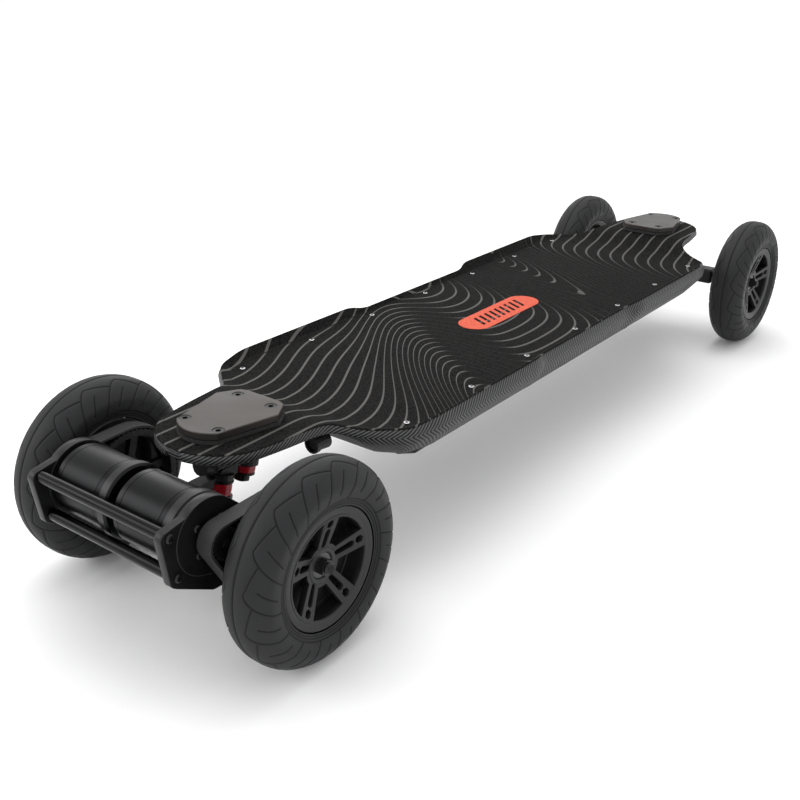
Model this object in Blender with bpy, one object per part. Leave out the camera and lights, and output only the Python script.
"""Electric skateboard with two double-kingpin trucks, two belt-driven rear wheels and air-filled tyres.

Metres. +X is forward, +Y is left, +Z is up. The origin is on the floor under the middle of the board.
A place along the board is given as a distance inwards from the nearer axle, so both ends share it.
"""

import math

import bmesh
import bpy
from mathutils import Matrix, Quaternion, Vector

# Driving dimensions
TYRE_RADIUS = 0.0875
WHEELBASE = 0.938
HALF_TRACK = 0.1304
GUARD_REACH = 0.107
GAP = 0.0003

REAR_AXLE_X = (GUARD_REACH - WHEELBASE - TYRE_RADIUS) / 2
FRONT_AXLE_X = REAR_AXLE_X + WHEELBASE
AXLE_Z = TYRE_RADIUS

# Facets round turned pieces
WHEEL_STEPS = 24
ROUND_STEPS = 20
SMALL_STEPS = 14
MERGE_DISTANCE = 0.00001

# Deck
TAIL_TOP = 0.1555
TAIL_BOTTOM = 0.1435
FLOOR_TOP = 0.142
BELLY_Z = 0.112
GRIP_THICKNESS = 0.0010
TAIL_ARC_CENTRE = 0.0368
TAIL_ARC_RADIUS = 0.0593

# Battery bay, closed by the cover under the belly
BAY_START = 0.165
BAY_HALF_WIDTH = 0.098
BAY_TOP = 0.1355
COVER_LAP = 0.008
COVER_CORNER = 0.012
SEAL_THICKNESS = 0.0012
COVER_THICKNESS = 0.003
CELL_RADIUS = 0.0092
CELLS_ACROSS = 10
BATTERY_LENGTH = 0.36

# Charge port and power button, in a pocket of the left side wall
POCKET_START = 0.195
POCKET_END = 0.262
POCKET_LOW = 0.116
POCKET_HIGH = 0.136
POCKET_FACE_Y = 0.112
SOCKET_DISTANCE = 0.213
SOCKET_RADIUS = 0.0072
SOCKET_DEPTH = 0.0125
SOCKET_FLANGE = 0.0012
CAP_RADIUS = 0.0082
CAP_THICKNESS = 0.002
BUTTON_DISTANCE = 0.244
BUTTON_RADIUS = 0.006
BUTTON_FRONT_Y = POCKET_FACE_Y + 0.0025
BUTTON_SEAT_Y = 0.1002
PORT_Z = 0.1262

# Top plates and their bolts
PLATE_TOP = 0.166
PLATE_THICKNESS = 0.0067
BOLT_NEAR = 0.010
BOLT_FAR = 0.072
BOLT_HALF_SPACING = 0.0202

# Trucks, in the plane through the middle of the board
LEAN = math.radians(16)
INNER_PIN_DISTANCE = 0.054
INNER_PIN_Z = 0.1075
OUTER_PIN_DISTANCE = 0.0226
OUTER_PIN_Z = 0.1004
PIN_RADIUS = 0.004
NUT_RADIUS = 0.0072
SLEEVE_RADIUS = 0.0065
LINK_HALF_WIDTH = 0.007
BAR_HALF = 0.0105
BAR_END_Y = 0.0842
AXLE_RADIUS = 0.004
AXLE_END_Y = 0.150

# Drive
MOTOR_DISTANCE = -0.0609
MOTOR_Z = 0.1216
MOTOR_RADIUS = 0.0308
MOTOR_RING_RADIUS = 0.0324
MOTOR_INNER_END = 0.0022
CLAMP_RADIUS = 0.0165
SHAFT_RADIUS = 0.004
SHAFT_HOLE_RADIUS = 0.0095
MOUNT_INNER_Y = 0.0725
MOUNT_OUTER_Y = 0.0815
GUARD_TUBE_RADIUS = 0.0052
GUARD_TUBE_WALL = 0.0012
BELT_INNER_Y = 0.0850
BELT_OUTER_Y = 0.1003
BELT_THICKNESS = 0.0021
TOOTH_PITCH = 0.005
TOOTH_HEIGHT = 0.0016
PITCH_TO_TIP = 0.0006
DRIVE_TEETH = 18
WHEEL_TEETH = 63

# Wheels, measured along the axle from the tyre's middle plane, outwards positive
RIM_EDGE = 0.0194
RIM_SEAT_END = 0.0160
RIM_LIP_RADIUS = 0.0519
RIM_SEAT_RADIUS = 0.0472
RIM_BARREL_RADIUS = 0.0440
HUB_RADIUS = 0.0165
HUB_BORE = 0.0110
HUB_INNER_END = -0.0160
HUB_OUTER_END = 0.0100
WEB_INNER = -0.0010
WEB_OUTER = 0.0030
BEARING_BORE = 0.0043
SPOKES = 5
SPOKE_HALF_WIDTH = 0.0078


def clear_scene():
    for obj in list(bpy.data.objects):
        bpy.data.objects.remove(obj)


def along(axle_x, distance):
    """World x of a point that lies this far inwards from an axle."""
    inwards = 1 if axle_x < 0 else -1
    return axle_x + inwards * distance


# ---------------------------------------------------------------- materials


def material(name, colour, roughness, metallic):
    made = bpy.data.materials.get(name) or bpy.data.materials.new(name)
    made.use_nodes = True
    shader = made.node_tree.nodes["Principled BSDF"]
    shader.inputs["Base Color"].default_value = (*colour, 1)
    shader.inputs["Roughness"].default_value = roughness
    shader.inputs["Metallic"].default_value = metallic
    return made


def composite():
    return material("composite", (0.045, 0.047, 0.05), 0.6, 0.0)


def grip():
    return material("grip", (0.09, 0.09, 0.09), 0.95, 0.0)


def gunmetal():
    return material("gunmetal", (0.36, 0.35, 0.34), 0.35, 0.9)


def black_metal():
    return material("black_metal", (0.02, 0.02, 0.022), 0.45, 0.6)


def steel():
    return material("steel", (0.6, 0.6, 0.6), 0.3, 1.0)


def rubber():
    return material("rubber", (0.12, 0.12, 0.125), 0.85, 0.0)


def red_urethane():
    return material("red_urethane", (0.45, 0.02, 0.04), 0.4, 0.0)


def black_plastic():
    return material("black_plastic", (0.015, 0.015, 0.016), 0.5, 0.0)


def rim_metal():
    return material("rim_metal", (0.2, 0.2, 0.205), 0.35, 0.8)


def cell_wrap():
    return material("cell_wrap", (0.03, 0.08, 0.25), 0.5, 0.0)


def board_green():
    return material("board_green", (0.01, 0.12, 0.05), 0.5, 0.0)


# ---------------------------------------------------------------- objects and Booleans


def make_object(name, bm, finish=None, origin=(0, 0, 0)):
    """Turns a bmesh drawn in world coordinates into an object whose own origin is the point given."""
    bmesh.ops.recalc_face_normals(bm, faces=bm.faces)
    bmesh.ops.translate(bm, vec=-Vector(origin), verts=bm.verts)
    mesh = bpy.data.meshes.new(name)
    bm.to_mesh(mesh)
    bm.free()
    mesh.shade_smooth()
    mesh.set_sharp_from_angle(angle=math.radians(32))
    obj = bpy.data.objects.new(name, mesh)
    obj.location = origin
    if finish:
        mesh.materials.append(finish)
    bpy.context.scene.collection.objects.link(obj)
    return obj


def combine(target, bm, operation, label):
    """Adds or removes the shape drawn in the bmesh, as a Boolean with a hidden tool object."""
    tool = make_object(f"tool_{target.name}_{label}", bm)
    tool.hide_render = True
    tool.display_type = "WIRE"
    modifier = target.modifiers.new(label, "BOOLEAN")
    modifier.operation = operation
    modifier.solver = "EXACT"
    modifier.object = tool


def unite(target, bm, label):
    combine(target, bm, "UNION", label)


def cut(target, bm, label):
    combine(target, bm, "DIFFERENCE", label)


def soften_edges(obj, width):
    modifier = obj.modifiers.new("soft_edges", "BEVEL")
    modifier.width = width
    modifier.segments = 1
    modifier.limit_method = "ANGLE"
    modifier.angle_limit = math.radians(40)


# ---------------------------------------------------------------- drawing


def draw_box(bm, low, high):
    low, high = Vector(low), Vector(high)
    fit = Matrix.Translation((low + high) / 2) @ Matrix.Diagonal((*(high - low), 1))
    bmesh.ops.create_cube(bm, size=1, matrix=fit)


def draw_turned(bm, profile, centre, direction, steps=ROUND_STEPS):
    """Spins a profile of (along, radius) points round a direction; one that leaves the axis is closed.

    Round the Y axis, flats and not corners face up and down, so that a wheel rests on a flat.
    """
    centre = Vector(centre)
    direction = Vector(direction).normalized()
    square = direction.cross(Vector((0, 1, 0))) if abs(direction.y) < 0.5 else Vector((1, 0, 0))
    start = Quaternion(direction, math.pi / steps) @ square.normalized()
    verts = [bm.verts.new(centre + direction * distance + start * radius) for distance, radius in profile]
    pairs = list(zip(verts, verts[1:] + verts[:1]))
    if profile[0][1] == 0:
        pairs.pop()
    edges = [bm.edges.new(pair) for pair in pairs]
    bmesh.ops.spin(bm, geom=verts + edges, cent=centre, axis=direction, angle=math.tau, steps=steps, use_merge=True)
    bmesh.ops.remove_doubles(bm, verts=bm.verts, dist=MERGE_DISTANCE)


def draw_rod(bm, start, end, radius, steps=ROUND_STEPS):
    start = Vector(start)
    reach = Vector(end) - start
    draw_turned(bm, [(0, 0), (0, radius), (reach.length, radius), (reach.length, 0)], start, reach, steps)


def draw_tube(bm, start, end, radius, bore, steps=ROUND_STEPS):
    start = Vector(start)
    reach = Vector(end) - start
    profile = [(0, bore), (0, radius), (reach.length, radius), (reach.length, bore)]
    draw_turned(bm, profile, start, reach, steps)


def draw_slab(bm, outline, low, high, place):
    """A flat outline, extruded from low to high; place turns (u, v, height) into a world point."""
    face = bm.faces.new([bm.verts.new(place(u, v, low)) for u, v in outline])
    grown = bmesh.ops.extrude_face_region(bm, geom=[face])
    lifted = [item for item in grown["geom"] if isinstance(item, bmesh.types.BMVert)]
    bmesh.ops.translate(bm, vec=place(0, 0, high) - place(0, 0, low), verts=lifted)


def from_above(u, v, height):
    return Vector((u, v, height))


def from_side(u, v, height):
    return Vector((u, height, v))


def from_end(u, v, height):
    return Vector((height, u, v))


def arc_points(centre, radius, start, end, count):
    """Points on a circle between two angles in degrees, both ends included."""
    angles = [math.radians(start + (end - start) * index / (count - 1)) for index in range(count)]
    return [(centre[0] + radius * math.cos(a), centre[1] + radius * math.sin(a)) for a in angles]


def wrap_outline(centre_a, radius_a, count_a, centre_b, radius_b, count_b):
    """Loop round two circles: an arc on each, joined by the two straight lines that touch both."""
    across = Vector(centre_b) - Vector(centre_a)
    heading = math.degrees(math.atan2(across.y, across.x))
    spread = math.degrees(math.acos((radius_a - radius_b) / across.length))
    loop = arc_points(centre_b, radius_b, heading - spread, heading + spread, count_b)
    loop += arc_points(centre_a, radius_a, heading + spread, heading + 360 - spread, count_a)
    return loop


def draw_skin(bm, loops):
    """Bridges each closed loop of vertices to the next."""
    for first, second in zip(loops, loops[1:]):
        size = len(first)
        for index in range(size):
            after = (index + 1) % size
            bm.faces.new((first[index], first[after], second[after], second[index]))


# ---------------------------------------------------------------- deck


class Station:
    """One step along the deck's left edge: where the edge is, and how the section is shaped there."""

    def __init__(self, edge, edge_z, floor, side, belly):
        self.edge = Vector(edge)
        self.edge_z = edge_z
        self.floor_in, self.floor_z = floor
        self.side_out, self.side_z = side
        self.belly_in, self.belly_z = belly


def tail_stations():
    """The rounded tail, which is flat on top, and its straight run up to the end of the top plate."""
    edges = arc_points((TAIL_ARC_CENTRE, 0), TAIL_ARC_RADIUS, 172, 113, 6)
    edges += [(0.045, 0.0600), (0.082, 0.0644)]
    section = (TAIL_TOP, (0.004, TAIL_TOP), (0.0015, 0.1472), (0.007, TAIL_BOTTOM))
    return [Station(edge, *section) for edge in edges]


def half_deck_stations():
    """The left edge from the tail's tip to the middle of the board."""
    return tail_stations() + [
        Station((0.096, 0.0678), 0.1540, (0.005, 0.1530), (0.0015, 0.1455), (0.010, 0.1425)),
        Station((0.107, 0.0760), 0.1493, (0.006, 0.1480), (0.0020, 0.1412), (0.012, 0.1390)),
        Station((0.118, 0.0900), 0.1460, (0.008, 0.1440), (0.0025, 0.1385), (0.024, BELLY_Z)),
        Station((0.143, 0.1200), 0.1465, (0.010, FLOOR_TOP), (0.0030, 0.1380), (0.018, BELLY_Z)),
        Station((0.178, 0.1268), 0.1505, (0.011, FLOOR_TOP), (0.0035, 0.1390), (0.0148, BELLY_Z)),
        Station((0.352, 0.1262), 0.1505, (0.0105, FLOOR_TOP), (0.0035, 0.1390), (0.0142, BELLY_Z)),
        Station((0.369, 0.1190), 0.1465, (0.006, FLOOR_TOP), (0.0035, 0.1367), (0.007, BELLY_Z)),
        Station((WHEELBASE / 2, 0.1190), 0.1465, (0.006, FLOOR_TOP), (0.0035, 0.1367), (0.007, BELLY_Z)),
    ]


def outward_normals(points):
    """Unit normals of the left edge, away from the board; before the tip comes the tip's own mirror."""
    tip, last = points[0], points[-1]
    before = [Vector((tip.x, -tip.y))] + points[:-1]
    after = points[1:] + [last + last - points[-2]]
    tangents = [(following - previous).normalized() for previous, following in zip(before, after)]
    return [Vector((-tangent.y, tangent.x)) for tangent in tangents]


def deck_line(place):
    """A line along the left side from tail to nose; place turns (station, normal) into (point, height)."""
    stations = half_deck_stations()
    normals = outward_normals([station.edge for station in stations])
    half = [place(station, normal) for station, normal in zip(stations, normals)]
    rear = [Vector((REAR_AXLE_X + point.x, point.y, height)) for point, height in half]
    front = [Vector((FRONT_AXLE_X - point.x, point.y, height)) for point, height in reversed(half[:-1])]
    return rear + front


def floor_line(drop):
    return deck_line(lambda s, normal: (s.edge - normal * s.floor_in, s.floor_z - drop))


def edge_line(drop):
    return deck_line(lambda s, normal: (s.edge, s.edge_z - drop))


def side_line():
    return deck_line(lambda s, normal: (s.edge + normal * s.side_out, s.side_z))


def belly_line():
    return deck_line(lambda s, normal: (s.edge - normal * s.belly_in, s.belly_z))


def draw_deck_skin(bm, lines):
    """A closed skin through left-side lines, given from the middle of the top to that of the bottom.

    Every quad is split along its shorter diagonal, so that the sheet's underside follows the shell's bent top.
    """
    sections = []
    for points in zip(*lines):
        left = [bm.verts.new(point) for point in points]
        right = [bm.verts.new((point.x, -point.y, point.z)) for point in points]
        sections.append(left + right[::-1])
    draw_skin(bm, sections)
    bm.faces.new(sections[0])
    bm.faces.new(sections[-1])
    bmesh.ops.triangulate(bm, faces=bm.faces, quad_method="SHORT_EDGE")


def deck_shell():
    under_grip = GRIP_THICKNESS + GAP
    bm = bmesh.new()
    draw_deck_skin(bm, (floor_line(under_grip), edge_line(under_grip), side_line(), belly_line()))
    shell = make_object("deck_shell", bm, composite())
    bay = bmesh.new()
    start, end = along(REAR_AXLE_X, BAY_START), along(FRONT_AXLE_X, BAY_START)
    draw_box(bay, (start, -BAY_HALF_WIDTH, BELLY_Z - 0.01), (end, BAY_HALF_WIDTH, BAY_TOP))
    cut(shell, bay, "battery_bay")
    pocket = bmesh.new()
    start, end = along(REAR_AXLE_X, POCKET_START), along(REAR_AXLE_X, POCKET_END)
    draw_box(pocket, (start, POCKET_FACE_Y, POCKET_LOW), (end, POCKET_FACE_Y + 0.03, POCKET_HIGH))
    cut(shell, pocket, "port_pocket")
    bores = bmesh.new()
    through, blind = BAY_HALF_WIDTH - 0.005, BUTTON_SEAT_Y
    for distance, radius, depth_y in (
        (SOCKET_DISTANCE, SOCKET_RADIUS, through),
        (BUTTON_DISTANCE, BUTTON_RADIUS, blind),
    ):
        x = along(REAR_AXLE_X, distance)
        draw_rod(bores, (x, depth_y, PORT_Z), (x, POCKET_FACE_Y + 0.005, PORT_Z), radius + GAP, SMALL_STEPS)
    cut(shell, bores, "port_bores")


def grip_sheet():
    bm = bmesh.new()
    bottom = (edge_line(GRIP_THICKNESS), floor_line(GRIP_THICKNESS))
    draw_deck_skin(bm, (floor_line(0), edge_line(0)) + bottom)
    make_object("grip_sheet", bm, grip())


def cover_outline(start, end, half, corner):
    """The belly cover from above: a rectangle with cut corners."""
    return [
        (start, corner - half), (start + corner, -half), (end - corner, -half), (end, corner - half),
        (end, half - corner), (end - corner, half), (start + corner, half), (start, half - corner),
    ]


def enclosure():
    """The belly cover, its seal and what the battery bay holds."""
    start, end = along(REAR_AXLE_X, BAY_START - COVER_LAP), along(FRONT_AXLE_X, BAY_START - COVER_LAP)
    half = BAY_HALF_WIDTH + COVER_LAP
    seal_top = BELLY_Z - GAP
    seal_bottom = seal_top - SEAL_THICKNESS
    cover_top = seal_bottom - GAP
    outline = cover_outline(start, end, half, COVER_CORNER)
    bm = bmesh.new()
    draw_slab(bm, outline, seal_bottom, seal_top, from_above)
    seal = make_object("cover_gasket", bm, rubber())
    window = bmesh.new()
    rim = COVER_LAP - 0.001
    outline = cover_outline(start + rim, end - rim, half - rim, COVER_CORNER / 2)
    draw_slab(window, outline, seal_bottom - 0.01, seal_top + 0.01, from_above)
    cut(seal, window, "opening")
    bm = bmesh.new()
    outline = cover_outline(start, end, half, COVER_CORNER)
    draw_slab(bm, outline, cover_top - COVER_THICKNESS, cover_top, from_above)
    cover = make_object("enclosure_cover", bm, black_plastic())
    soften_edges(cover, 0.0012)
    battery_pack(cover_top + GAP)
    battery_management_board(cover_top + GAP)
    motor_controller(cover_top + GAP)


def battery_pack(bottom):
    """Cells in one shrink-wrapped block, scalloped over each row of cells."""
    half = CELLS_ACROSS * CELL_RADIUS
    start = along(REAR_AXLE_X, BAY_START + 0.03)
    outline = [(-half, bottom), (half, bottom)]
    for row in reversed(range(CELLS_ACROSS)):
        centre = ((2 * row + 1) * CELL_RADIUS - half, bottom + CELL_RADIUS)
        outline += arc_points(centre, CELL_RADIUS, 0, 135, 4)
    outline.append((-half, bottom + CELL_RADIUS))
    bm = bmesh.new()
    draw_slab(bm, outline, start, start + BATTERY_LENGTH, from_end)
    make_object("battery_pack", bm, cell_wrap())


def battery_management_board(bottom):
    x = along(FRONT_AXLE_X, 0.265)
    bm = bmesh.new()
    draw_box(bm, (x - 0.035, -0.04, bottom), (x + 0.035, 0.04, bottom + 0.0016))
    board = make_object("battery_management_board", bm, board_green())
    components = bmesh.new()
    draw_box(components, (x - 0.02, -0.025, bottom + 0.0008), (x + 0.02, 0.025, bottom + 0.006))
    unite(board, components, "components")


def motor_controller(bottom):
    """An aluminium block with cooling fins on top."""
    middle = along(FRONT_AXLE_X, 0.205)
    fins, fin_pitch = 7, 0.014
    body_top, fin_top = bottom + 0.012, bottom + 0.020
    half = fins * fin_pitch / 2
    outline = [(-half, bottom), (half, bottom), (half, body_top)]
    for fin in reversed(range(fins)):
        right = (fin + 0.75) * fin_pitch - half
        left = (fin + 0.25) * fin_pitch - half
        outline += [(right, body_top), (right, fin_top), (left, fin_top), (left, body_top)]
    outline.append((-half, body_top))
    bm = bmesh.new()
    draw_slab(bm, outline, middle - 0.02, middle + 0.03, from_end)
    make_object("motor_controller", bm, gunmetal())


def charge_port():
    """A round socket with a flange on the pocket's face, and the cap that hinges on its lower edge."""
    x = along(REAR_AXLE_X, SOCKET_DISTANCE)
    back = POCKET_FACE_Y + GAP - SOCKET_DEPTH
    length = SOCKET_DEPTH + SOCKET_FLANGE
    bore, floor = 0.0055, 0.004
    profile = [(0, 0), (0, SOCKET_RADIUS), (SOCKET_DEPTH, SOCKET_RADIUS), (SOCKET_DEPTH, CAP_RADIUS)]
    profile += [(length, CAP_RADIUS), (length, bore), (floor, bore), (floor, 0)]
    bm = bmesh.new()
    draw_turned(bm, profile, (x, back, PORT_Z), (0, 1, 0), SMALL_STEPS)
    make_object("charge_socket", bm, black_plastic())
    cap_back = back + length + GAP
    bm = bmesh.new()
    draw_rod(bm, (x, cap_back, PORT_Z), (x, cap_back + CAP_THICKNESS, PORT_Z), CAP_RADIUS)
    hinge = (x, cap_back + CAP_THICKNESS / 2, PORT_Z - CAP_RADIUS)
    make_object("charge_cap", bm, rubber(), hinge)


def power_button():
    x = along(REAR_AXLE_X, BUTTON_DISTANCE)
    length, chamfer = 0.0125, 0.001
    profile = [(0, 0), (0, BUTTON_RADIUS), (length - chamfer, BUTTON_RADIUS)]
    profile += [(length, BUTTON_RADIUS - chamfer), (length, 0)]
    bm = bmesh.new()
    draw_turned(bm, profile, (x, BUTTON_FRONT_Y - length, PORT_Z), (0, 1, 0))
    make_object("power_button", bm, steel(), (x, POCKET_FACE_Y, PORT_Z))


def tail_lamps():
    """Short tapered tubes that stand out from the rear wall of the battery bay, with a sunken end."""
    x = along(REAR_AXLE_X, 0.0925)
    profile = [(0.002, 0), (0.002, 0.0062), (0, 0.0062), (0, 0.0082), (0.005, 0.0082)]
    profile += [(0.006, 0.0072), (0.018, 0.0085), (0.018, 0)]
    for side, y in (("left", 0.0475), ("right", -0.0475)):
        bm = bmesh.new()
        draw_turned(bm, profile, (x, y, 0.1275), (1, 0, 0), SMALL_STEPS)
        make_object(f"{side}_tail_lamp", bm, black_plastic())


# ---------------------------------------------------------------- top plates


def plate_outline(axle_x, grow=0.0):
    """A top plate from above: a straight inner end with cut corners, tapering to a rounded outer end."""
    left = [(0.0842 + grow, 0.0195), (0.0815 + grow, 0.0268 + grow), (0.0625, 0.0383 + grow)]
    left += arc_points((0.0285, 0), 0.0345 + grow, 134, 180, 5)
    right = [(distance, -y) for distance, y in reversed(left[:-1])]
    return [(along(axle_x, distance), y) for distance, y in left + right]


def top_plate(end, axle_x):
    plate_bottom = PLATE_TOP - PLATE_THICKNESS
    bm = bmesh.new()
    draw_slab(bm, plate_outline(axle_x, 0.0006), TAIL_TOP + GAP, plate_bottom - GAP, from_above)
    make_object(f"{end}_plate_gasket", bm, rubber())
    bm = bmesh.new()
    draw_slab(bm, plate_outline(axle_x), plate_bottom, PLATE_TOP, from_above)
    plate = make_object(f"{end}_top_plate", bm, gunmetal())
    soften_edges(plate, 0.0007)
    seats = bmesh.new()
    depth, above, hole, head = 0.0045, 0.001, 0.0028, 0.0062
    for distance in (BOLT_NEAR, BOLT_FAR):
        for y in (-BOLT_HALF_SPACING, BOLT_HALF_SPACING):
            seat = (along(axle_x, distance), y, PLATE_TOP)
            profile = [(-depth, 0), (-depth, hole), (above, head), (above, 0)]
            draw_turned(seats, profile, seat, (0, 0, 1), SMALL_STEPS)
    cut(plate, seats, "bolt_seats")


# ---------------------------------------------------------------- trucks


class Truck:
    """Where one truck's kingpins and pivots are. Heights on a pin are measured along it, upwards."""

    def __init__(self, end, axle_x):
        self.end = end
        self.axle_x = axle_x
        inwards = 1 if axle_x < 0 else -1
        self.pin = Vector((inwards * math.sin(LEAN), 0, math.cos(LEAN)))
        self.tilt_axis = Vector((-inwards * math.cos(LEAN), 0, math.sin(LEAN)))
        self.inner_centre = Vector((along(axle_x, INNER_PIN_DISTANCE), 0, INNER_PIN_Z))
        self.outer_centre = Vector((along(axle_x, OUTER_PIN_DISTANCE), 0, OUTER_PIN_Z))
        self.link_pivot = self.on_inner(0.0068)
        self.hanger_pivot = self.on_outer(-0.0098)

    def on_inner(self, height):
        return self.inner_centre + self.pin * height

    def on_outer(self, height):
        return self.outer_centre + self.pin * height

    def on_link_axis(self, distance):
        return self.link_pivot + self.tilt_axis * distance

    def on_hanger_axis(self, distance):
        return self.hanger_pivot + self.tilt_axis * distance


def baseplate(truck):
    """The block bolted under the tail, with a boss for the inner kingpin and a cup for the link's nose."""
    start, end = sorted((along(truck.axle_x, -0.0015), along(truck.axle_x, 0.0810)))
    bm = bmesh.new()
    draw_box(bm, (start, -0.0285, 0.1338), (end, 0.0285, TAIL_BOTTOM - GAP))
    plate = make_object(f"{truck.end}_baseplate", bm, black_metal())
    soften_edges(plate, 0.0015)
    boss = bmesh.new()
    draw_rod(boss, truck.on_inner(0.0190), truck.on_inner(0.0310), 0.0135)
    unite(plate, boss, "kingpin_boss")
    cup = bmesh.new()
    draw_rod(cup, truck.on_link_axis(0.0445), truck.on_link_axis(0.0530), 0.0095, SMALL_STEPS)
    unite(plate, cup, "pivot_cup")
    holes = bmesh.new()
    draw_rod(holes, truck.on_link_axis(0.0400), truck.on_link_axis(0.0485), 0.0055, SMALL_STEPS)
    draw_rod(holes, truck.on_inner(0.0150), truck.on_inner(0.0290), PIN_RADIUS + GAP, SMALL_STEPS)
    cut(plate, holes, "holes")


def kingpins(truck):
    """Each pin with its washers and nut; the inner one stays with the deck, the outer one with the link."""
    profile = [(-0.0130, 0), (-0.0130, PIN_RADIUS), (-0.0118, PIN_RADIUS), (-0.0118, NUT_RADIUS)]
    profile += [(-0.0058, NUT_RADIUS), (-0.0058, 0.0112), (-0.0040, 0.0112), (-0.0040, PIN_RADIUS)]
    profile += [(0.0287, PIN_RADIUS), (0.0287, 0)]
    bm = bmesh.new()
    draw_turned(bm, profile, truck.inner_centre, truck.pin, SMALL_STEPS)
    make_object(f"{truck.end}_inner_kingpin", bm, black_metal())
    profile = [(-0.0330, 0), (-0.0330, PIN_RADIUS), (-0.0305, PIN_RADIUS), (-0.0305, NUT_RADIUS)]
    profile += [(-0.0240, NUT_RADIUS), (-0.0240, 0.0120), (-0.0222, 0.0120), (-0.0222, PIN_RADIUS)]
    profile += [(0.0061, PIN_RADIUS), (0.0061, 0.0135), (0.0076, 0.0135), (0.0076, PIN_RADIUS)]
    profile += [(0.0130, PIN_RADIUS), (0.0130, 0)]
    bm = bmesh.new()
    draw_turned(bm, profile, truck.outer_centre, truck.pin, SMALL_STEPS)
    make_object(f"{truck.end}_outer_kingpin", bm, black_metal(), truck.link_pivot)


def bushing(name, centre, direction, upper, lower, radius, origin):
    """Two barrels above and below a ring, joined by the sleeve that passes through it."""
    bore = PIN_RADIUS + GAP
    chamfer = 0.001
    profile = [(lower[0], bore), (lower[0], radius - chamfer), (lower[0] + chamfer, radius), (lower[1], radius)]
    profile += [(lower[1], SLEEVE_RADIUS), (upper[0], SLEEVE_RADIUS), (upper[0], radius)]
    profile += [(upper[1] - chamfer, radius), (upper[1], radius - chamfer), (upper[1], bore)]
    bm = bmesh.new()
    draw_turned(bm, profile, centre, direction, SMALL_STEPS)
    make_object(name, bm, red_urethane(), origin)


def bushings(truck):
    upper, lower = (0.0105, 0.0187), (-0.0037, 0.0032)
    bushing(f"{truck.end}_inner_bushing", truck.inner_centre, truck.pin, upper, lower, 0.0112, (0, 0, 0))
    upper, lower = (-0.0058, 0.0058), (-0.0219, -0.0138)
    name = f"{truck.end}_outer_bushing"
    bushing(name, truck.outer_centre, truck.pin, upper, lower, 0.0125, truck.link_pivot)


def link_side_outline(axle_x):
    """The link's spine from the side: from the inner ring, over the axle bar, down to the cup behind it."""
    points = [(0.0500, 0.1128), (0.0500, 0.1185), (0.0230, 0.1185), (0.0180, 0.1140), (-0.0080, 0.1140)]
    points += [(-0.0215, 0.1110), (-0.0215, 0.0945), (-0.0130, 0.0945), (-0.0125, 0.1043), (0.0300, 0.1075)]
    points += [(0.0405, 0.1090), (0.0415, 0.1150)]
    return [(along(axle_x, distance), z) for distance, z in points]


def mid_link(truck):
    """The link between the kingpins, with a nose in the baseplate's cup and a cup for the hanger's nose."""
    bm = bmesh.new()
    draw_rod(bm, truck.on_inner(0.0035), truck.on_inner(0.0102), 0.0130)
    link = make_object(f"{truck.end}_mid_link", bm, black_metal(), truck.link_pivot)
    spine = bmesh.new()
    draw_slab(spine, link_side_outline(truck.axle_x), -LINK_HALF_WIDTH, LINK_HALF_WIDTH, from_side)
    unite(link, spine, "spine")
    head = bmesh.new()
    draw_rod(head, truck.on_outer(0.0070), truck.on_outer(0.0135), 0.0125)
    unite(link, head, "head")
    nose = bmesh.new()
    draw_rod(nose, truck.on_link_axis(0.0240), truck.on_link_axis(0.0480), 0.0050, SMALL_STEPS)
    unite(link, nose, "nose")
    room = bmesh.new()
    draw_rod(room, truck.on_outer(-0.0300), truck.on_outer(0.0079), 0.0140)
    cut(link, room, "bushing_room")
    holes = bmesh.new()
    draw_rod(holes, truck.on_inner(-0.0050), truck.on_inner(0.0200), SLEEVE_RADIUS + GAP, SMALL_STEPS)
    draw_rod(holes, truck.on_outer(0.0020), truck.on_outer(0.0133), PIN_RADIUS + GAP, SMALL_STEPS)
    draw_rod(holes, truck.on_hanger_axis(0.0280), truck.on_hanger_axis(0.0400), 0.0050, SMALL_STEPS)
    cut(link, holes, "holes")


def hanger(truck):
    """The axle bar with its ring round the outer kingpin, a nose towards the link's cup and the axle."""
    x = truck.axle_x
    bm = bmesh.new()
    draw_box(bm, (x - BAR_HALF, -BAR_END_Y, AXLE_Z - BAR_HALF), (x + BAR_HALF, BAR_END_Y, AXLE_Z + BAR_HALF))
    body = make_object(f"{truck.end}_hanger", bm, black_metal(), truck.hanger_pivot)
    soften_edges(body, 0.002)
    ring = bmesh.new()
    draw_rod(ring, truck.on_outer(-0.0135), truck.on_outer(-0.0061), 0.0140)
    unite(body, ring, "ring")
    nose = bmesh.new()
    draw_rod(nose, truck.on_hanger_axis(0.0180), truck.on_hanger_axis(0.0385), 0.0045, SMALL_STEPS)
    unite(body, nose, "nose")
    axle = bmesh.new()
    draw_rod(axle, (x, -AXLE_END_Y, AXLE_Z), (x, AXLE_END_Y, AXLE_Z), AXLE_RADIUS, SMALL_STEPS)
    unite(body, axle, "axle")
    for label, start, end, radius in (
        ("ring_hole", -0.0200, 0.0, SLEEVE_RADIUS + GAP),
        ("lower_room", -0.0400, -0.0135, 0.0150),
        ("upper_room", -0.0061, 0.0200, 0.0135),
    ):
        room = bmesh.new()
        draw_rod(room, truck.on_outer(start), truck.on_outer(end), radius, SMALL_STEPS)
        cut(body, room, label)


# ---------------------------------------------------------------- drive


def motor_centre():
    return (along(REAR_AXLE_X, MOTOR_DISTANCE), MOTOR_Z)


def rear_axle_centre():
    return (REAR_AXLE_X, AXLE_Z)


def rear_hanger_pivot():
    return Truck("rear", REAR_AXLE_X).hanger_pivot


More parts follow.
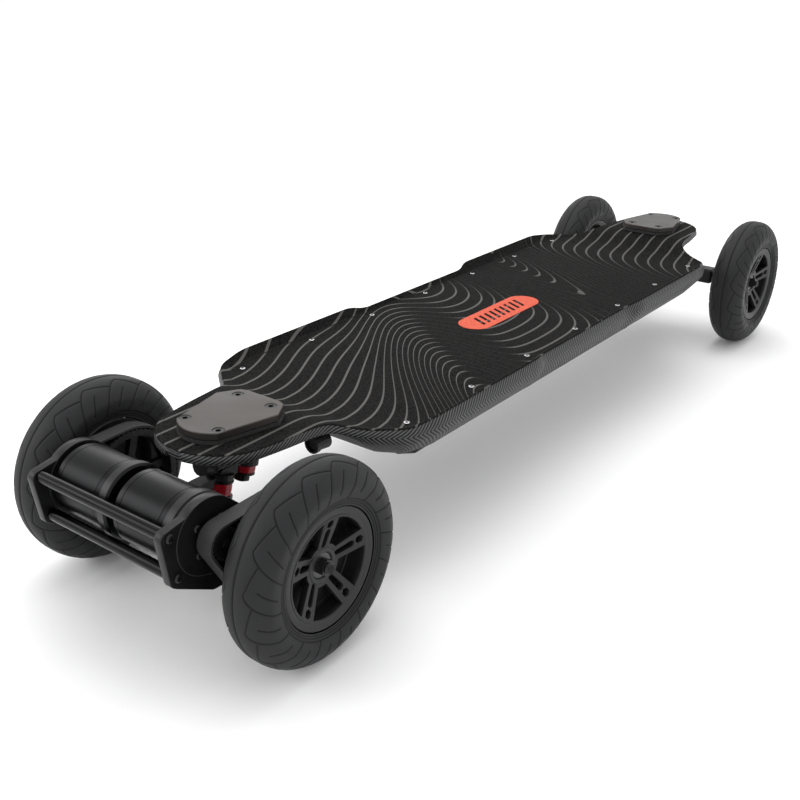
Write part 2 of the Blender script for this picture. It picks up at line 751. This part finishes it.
def motor_mount(side, sign):
    """A plate that clamps the hanger's bar, carries the motor and holds the ends of the cross tubes."""
    x, z = motor_centre()
    outline = wrap_outline((x, z), MOTOR_RING_RADIUS, 15, rear_axle_centre(), CLAMP_RADIUS, 7)
    bm = bmesh.new()
    draw_slab(bm, outline, sign * MOUNT_INNER_Y, sign * MOUNT_OUTER_Y, from_side)
    mount = make_object(f"{side}_motor_mount", bm, black_metal(), rear_hanger_pivot())
    guard = [(-0.0600, 0.1500), (-0.1020, 0.1435), (-GUARD_REACH, 0.1385), (-0.1010, 0.0960)]
    guard += [(-0.0970, 0.0925), (-0.0600, 0.0720), (-0.0506, 0.0718), (-0.0150, 0.0780)]
    outline = [(along(REAR_AXLE_X, distance), height) for distance, height in guard]
    arm = bmesh.new()
    draw_slab(arm, outline, sign * (MOUNT_INNER_Y + 0.0006), sign * (MOUNT_OUTER_Y - 0.0006), from_side)
    unite(mount, arm, "guard_arm")
    openings = bmesh.new()
    before, after = sorted((sign * (MOUNT_INNER_Y - 0.01), sign * (MOUNT_OUTER_Y + 0.01)))
    reach = BAR_HALF + GAP
    draw_box(openings, (REAR_AXLE_X - reach, before, AXLE_Z - reach), (REAR_AXLE_X + reach, after, AXLE_Z + reach))
    draw_rod(openings, (x, before, z), (x, after, z), SHAFT_HOLE_RADIUS, SMALL_STEPS)
    cut(mount, openings, "bar_and_shaft")


def guard_tubes():
    end = MOUNT_INNER_Y - GAP
    bore = GUARD_TUBE_RADIUS - GUARD_TUBE_WALL
    for name, distance, z in (("upper", -0.0985, 0.1372), ("lower", -0.0940, 0.1010)):
        x = along(REAR_AXLE_X, distance)
        bm = bmesh.new()
        draw_tube(bm, (x, -end, z), (x, end, z), GUARD_TUBE_RADIUS, bore, SMALL_STEPS)
        make_object(f"{name}_guard_tube", bm, steel(), rear_hanger_pivot())


def motor(side, right_end, left_end):
    """A motor's body between two places along Y: a wide ring at its right end, a neck at its left end."""
    x, z = motor_centre()
    ring_end = right_end + 0.0105
    neck_start = left_end - 0.0035
    neck_radius = MOTOR_RADIUS - 0.004
    profile = [(right_end, 0), (right_end, MOTOR_RING_RADIUS), (ring_end, MOTOR_RING_RADIUS)]
    profile += [(ring_end, MOTOR_RADIUS), (neck_start, MOTOR_RADIUS), (neck_start, neck_radius)]
    profile += [(left_end, neck_radius), (left_end, 0)]
    bm = bmesh.new()
    draw_turned(bm, profile, (x, 0, z), (0, 1, 0), WHEEL_STEPS)
    make_object(f"{side}_motor", bm, black_metal(), rear_hanger_pivot())


def motors():
    outer_end = MOUNT_INNER_Y - GAP
    motor("left", MOTOR_INNER_END, outer_end)
    motor("right", -outer_end, -MOTOR_INNER_END)


def tip_radius(teeth):
    """Outer radius of a toothed pulley, which lies a little inside its pitch circle."""
    return teeth * TOOTH_PITCH / math.tau - PITCH_TO_TIP


def toothed_outline(teeth, centre):
    """One tip and one root for each tooth."""
    points = []
    for half_step in range(2 * teeth):
        radius = tip_radius(teeth) - TOOTH_HEIGHT * (half_step % 2)
        turn = math.pi * half_step / teeth
        points.append((centre[0] + radius * math.cos(turn), centre[1] + radius * math.sin(turn)))
    return points


def drive_pulley(side, sign):
    """A toothed pulley with the end of the motor's shaft that carries it."""
    x, z = motor_centre()
    bm = bmesh.new()
    draw_slab(bm, toothed_outline(DRIVE_TEETH, (x, z)), sign * BELT_INNER_Y, sign * BELT_OUTER_Y, from_side)
    pulley = make_object(f"{side}_drive_pulley", bm, black_metal(), (x, sign * BELT_INNER_Y, z))
    shaft = bmesh.new()
    start, end = sign * (MOUNT_INNER_Y + 0.001), sign * (BELT_OUTER_Y + 0.001)
    draw_rod(shaft, (x, start, z), (x, end, z), SHAFT_RADIUS, SMALL_STEPS)
    unite(pulley, shaft, "shaft")


def belt(side, sign):
    """A closed loop that lies just outside both pulleys."""
    inner, outer = sign * BELT_INNER_Y, sign * BELT_OUTER_Y
    corners = ((GAP, inner), (GAP, outer), (GAP + BELT_THICKNESS, outer), (GAP + BELT_THICKNESS, inner))
    bm = bmesh.new()
    loops = []
    for extra, y in corners:
        wheel_radius, drive_radius = tip_radius(WHEEL_TEETH) + extra, tip_radius(DRIVE_TEETH) + extra
        outline = wrap_outline(motor_centre(), drive_radius, 9, rear_axle_centre(), wheel_radius, 31)
        loops.append([bm.verts.new((x, y, z)) for x, z in outline])
    draw_skin(bm, loops + loops[:1])
    make_object(f"{side}_belt", bm, rubber(), rear_hanger_pivot())


def draw_windows(bm, centre, sides, radii, count, half_web):
    """Pockets or openings between spokes: an arc outside, a shorter one inside, with spokes of one width."""
    inner, outer = radii
    half_step = 180 / count
    inner_half = half_step - math.degrees(half_web / inner)
    outer_half = half_step - math.degrees(half_web / outer)
    for index in range(count):
        middle = half_step * (2 * index + 1)
        outline = arc_points(centre, inner, middle - inner_half, middle + inner_half, 2)
        outline += arc_points(centre, outer, middle + outer_half, middle - outer_half, 4)
        draw_slab(bm, outline, *sides, from_side)


def wheel_pulley(side, sign):
    """A toothed ring on a spoked web, with a neck that reaches to the wheel's hub."""
    x, z = rear_axle_centre()
    outer_face = sign * BELT_OUTER_Y
    inner_face = sign * BELT_INNER_Y
    bm = bmesh.new()
    draw_slab(bm, toothed_outline(WHEEL_TEETH, (x, z)), inner_face, outer_face, from_side)
    pulley = make_object(f"{side}_wheel_pulley", bm, black_metal(), (x, sign * HALF_TRACK, z))
    recess = bmesh.new()
    draw_tube(recess, (x, inner_face - sign * 0.005, z), (x, outer_face - sign * 0.006, z), 0.0430, 0.0170)
    cut(pulley, recess, "recess")
    windows = bmesh.new()
    sides = (outer_face - sign * 0.010, outer_face + sign * 0.005)
    draw_windows(windows, (x, z), sides, (0.0205, 0.0405), SPOKES, 0.0040)
    cut(pulley, windows, "windows")
    neck = bmesh.new()
    neck_end = sign * (HALF_TRACK + HUB_INNER_END - GAP)
    draw_rod(neck, (x, outer_face - sign * 0.003, z), (x, neck_end, z), 0.0150)
    unite(pulley, neck, "neck")
    bore = bmesh.new()
    draw_rod(bore, (x, inner_face - sign * 0.005, z), (x, neck_end + sign * 0.005, z), HUB_BORE, SMALL_STEPS)
    cut(pulley, bore, "bore")


# ---------------------------------------------------------------- wheels


def tyre_profile():
    """The tyre's section; its crown is set so that the flats of the turned tyre touch the floor."""
    crown = TYRE_RADIUS / math.cos(math.pi / WHEEL_STEPS)
    outside = [(0.0070, crown), (0.0172, 0.0822), (0.0240, 0.0712), (0.0225, 0.0590), (0.0198, 0.0524)]
    inside = [(0.0160, 0.0524), (0.0118, 0.0478), (0.0195, 0.0680), (0.0080, 0.0822)]
    half = outside + inside
    return half + [(-offset, radius) for offset, radius in reversed(half)]


def rim_profile():
    """Barrel with two lips, the web with its spokes on the outer side and the hub, as one closed section."""
    lip_inside = RIM_LIP_RADIUS - 0.0025
    barrel = [(-RIM_EDGE, RIM_LIP_RADIUS), (-RIM_SEAT_END, RIM_SEAT_RADIUS), (RIM_SEAT_END, RIM_SEAT_RADIUS)]
    barrel += [(RIM_EDGE, RIM_LIP_RADIUS), (RIM_EDGE, lip_inside), (0.0150, RIM_BARREL_RADIUS)]
    hub = [(HUB_OUTER_END, HUB_RADIUS), (HUB_OUTER_END, HUB_BORE), (HUB_INNER_END, HUB_BORE)]
    hub += [(HUB_INNER_END, HUB_RADIUS), (WEB_INNER, HUB_RADIUS)]
    return barrel + hub + [(WEB_INNER, RIM_BARREL_RADIUS), (-0.0150, RIM_BARREL_RADIUS), (-RIM_EDGE, lip_inside)]


def wheel(name, axle_x, sign):
    centre = (axle_x, sign * HALF_TRACK, AXLE_Z)
    outwards = (0, sign, 0)
    bm = bmesh.new()
    draw_turned(bm, tyre_profile(), centre, outwards, WHEEL_STEPS)
    make_object(f"{name}_tyre", bm, rubber(), centre)
    bm = bmesh.new()
    draw_turned(bm, rim_profile(), centre, outwards, WHEEL_STEPS)
    rim = make_object(f"{name}_rim", bm, rim_metal(), centre)
    windows = bmesh.new()
    sides = (sign * (HALF_TRACK + WEB_OUTER), sign * (HALF_TRACK + 0.025))
    draw_windows(windows, (axle_x, AXLE_Z), sides, (0.0205, 0.0415), SPOKES, SPOKE_HALF_WIDTH)
    cut(rim, windows, "windows")
    bearing_and_nut(name, centre, sign)


def bearing_and_nut(name, centre, sign):
    x, y, z = centre
    bearing_end = HUB_OUTER_END - 0.0005
    bm = bmesh.new()
    start, end = (x, y + sign * (bearing_end - 0.007), z), (x, y + sign * bearing_end, z)
    draw_tube(bm, start, end, HUB_BORE - GAP, BEARING_BORE, SMALL_STEPS)
    make_object(f"{name}_bearing", bm, steel(), centre)
    bm = bmesh.new()
    start, end = (x, y + sign * (bearing_end + GAP), z), (x, y + sign * (bearing_end + 0.0063), z)
    draw_tube(bm, start, end, NUT_RADIUS, BEARING_BORE / math.cos(math.pi / 6), 6)
    make_object(f"{name}_axle_nut", bm, black_metal(), centre)


def main():
    clear_scene()
    deck_shell()
    grip_sheet()
    enclosure()
    charge_port()
    power_button()
    tail_lamps()
    for end, axle_x in (("rear", REAR_AXLE_X), ("front", FRONT_AXLE_X)):
        top_plate(end, axle_x)
        truck = Truck(end, axle_x)
        baseplate(truck)
        kingpins(truck)
        bushings(truck)
        mid_link(truck)
        hanger(truck)
        for side, sign in (("left", 1), ("right", -1)):
            wheel(f"{end}_{side}", axle_x, sign)
    motors()
    guard_tubes()
    for side, sign in (("left", 1), ("right", -1)):
        motor_mount(side, sign)
        drive_pulley(side, sign)
        belt(side, sign)
        wheel_pulley(side, sign)


main()
